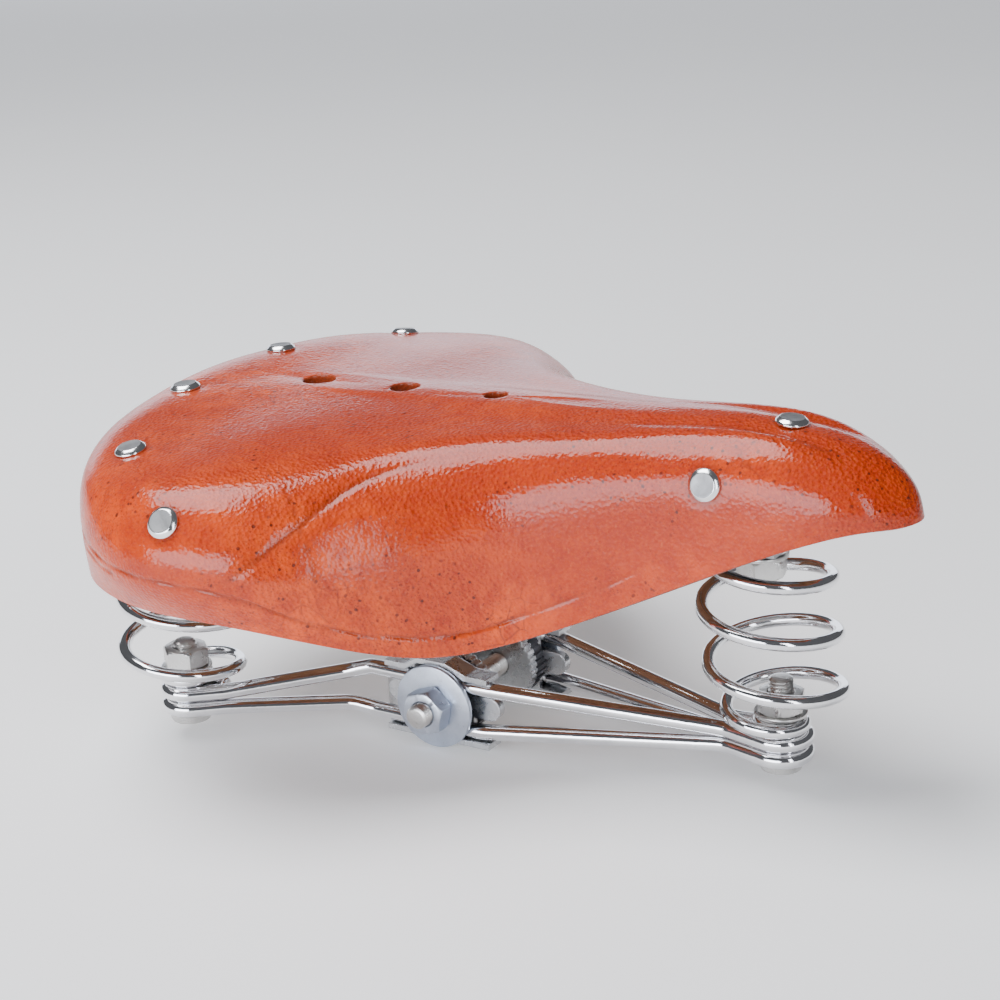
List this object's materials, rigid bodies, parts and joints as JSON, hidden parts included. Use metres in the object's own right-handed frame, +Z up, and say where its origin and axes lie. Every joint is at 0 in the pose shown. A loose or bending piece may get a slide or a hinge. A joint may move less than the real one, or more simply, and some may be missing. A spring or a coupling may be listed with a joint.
{
  "type": "bicycle saddle",
  "caption": "Sprung leather bicycle saddle with coil springs, a bent wire frame and a tilting clamp for a round seat post.",
  "frame": {"origin": "on the axis of the clamp's bore for the seat post, level with the undersides of the lower bolt heads", "axes": "+Z up along the seat post, +X to the nose, +Y to the rider's left"},
  "size_m": [0.2769, 0.219, 0.1212],
  "materials": {
    "leather": "glossy waxed tan",
    "plate": "black",
    "rivet": "polished rim, dull face",
    "spring": "bright chrome",
    "wire": "bright chrome",
    "bolt": "nickel plated",
    "nut": "nickel plated",
    "clamp": "bright zinc",
    "zinc": "blue zinc",
    "dark": "dark phosphated"
  },
  "bodies": {
    "post_collar": {"post_collar": "clamp"},
    "clamp": {"cheek_right": "clamp", "cheek_left": "clamp", "clamp_washer_right": "zinc", "clamp_washer_left": "zinc", "toothed_disc_right": "dark", "toothed_disc_left": "dark", "clamp_stud": "zinc", "clamp_nuts": "zinc"},
    "undercarriage": {"upper_wire": "wire", "lower_wire": "wire", "front_lower_bolt": "bolt", "front_lower_nut": "nut", "rear_lower_bolts": "bolt", "rear_lower_nuts": "nut", "lower_washers": "nut", "front_spring": "spring", "rear_spring_right": "spring", "rear_spring_left": "spring"},
    "seat": {"leather_top": "leather", "cantle_plate": "plate", "nose_plate": "plate", "rear_rivets": "rivet", "nose_rivets": "rivet", "front_upper_bolt": "bolt", "front_upper_nut": "nut", "rear_upper_bolts": "bolt", "rear_upper_nuts": "nut", "upper_washers": "nut"}
  },
  "joints": [
    {"name": "saddle_tilt", "type": "hinge", "parent": "post_collar", "child": "clamp", "pos_m": [0.021, 0, 0.0096], "axis": [0, 1, 0], "range_deg": [-20, 20]},
    {"name": "rail_slide", "type": "slide", "parent": "clamp", "child": "undercarriage", "axis": [1, 0, 0], "range_m": [0, 0.01]},
    {"name": "seat_sink", "type": "slide", "parent": "undercarriage", "child": "seat", "axis": [0, 0, 1], "range_m": [-0.018, 0], "stiffness_N_per_m": 60000, "deforming": ["front_spring", "rear_spring_right", "rear_spring_left"]}
  ]
}
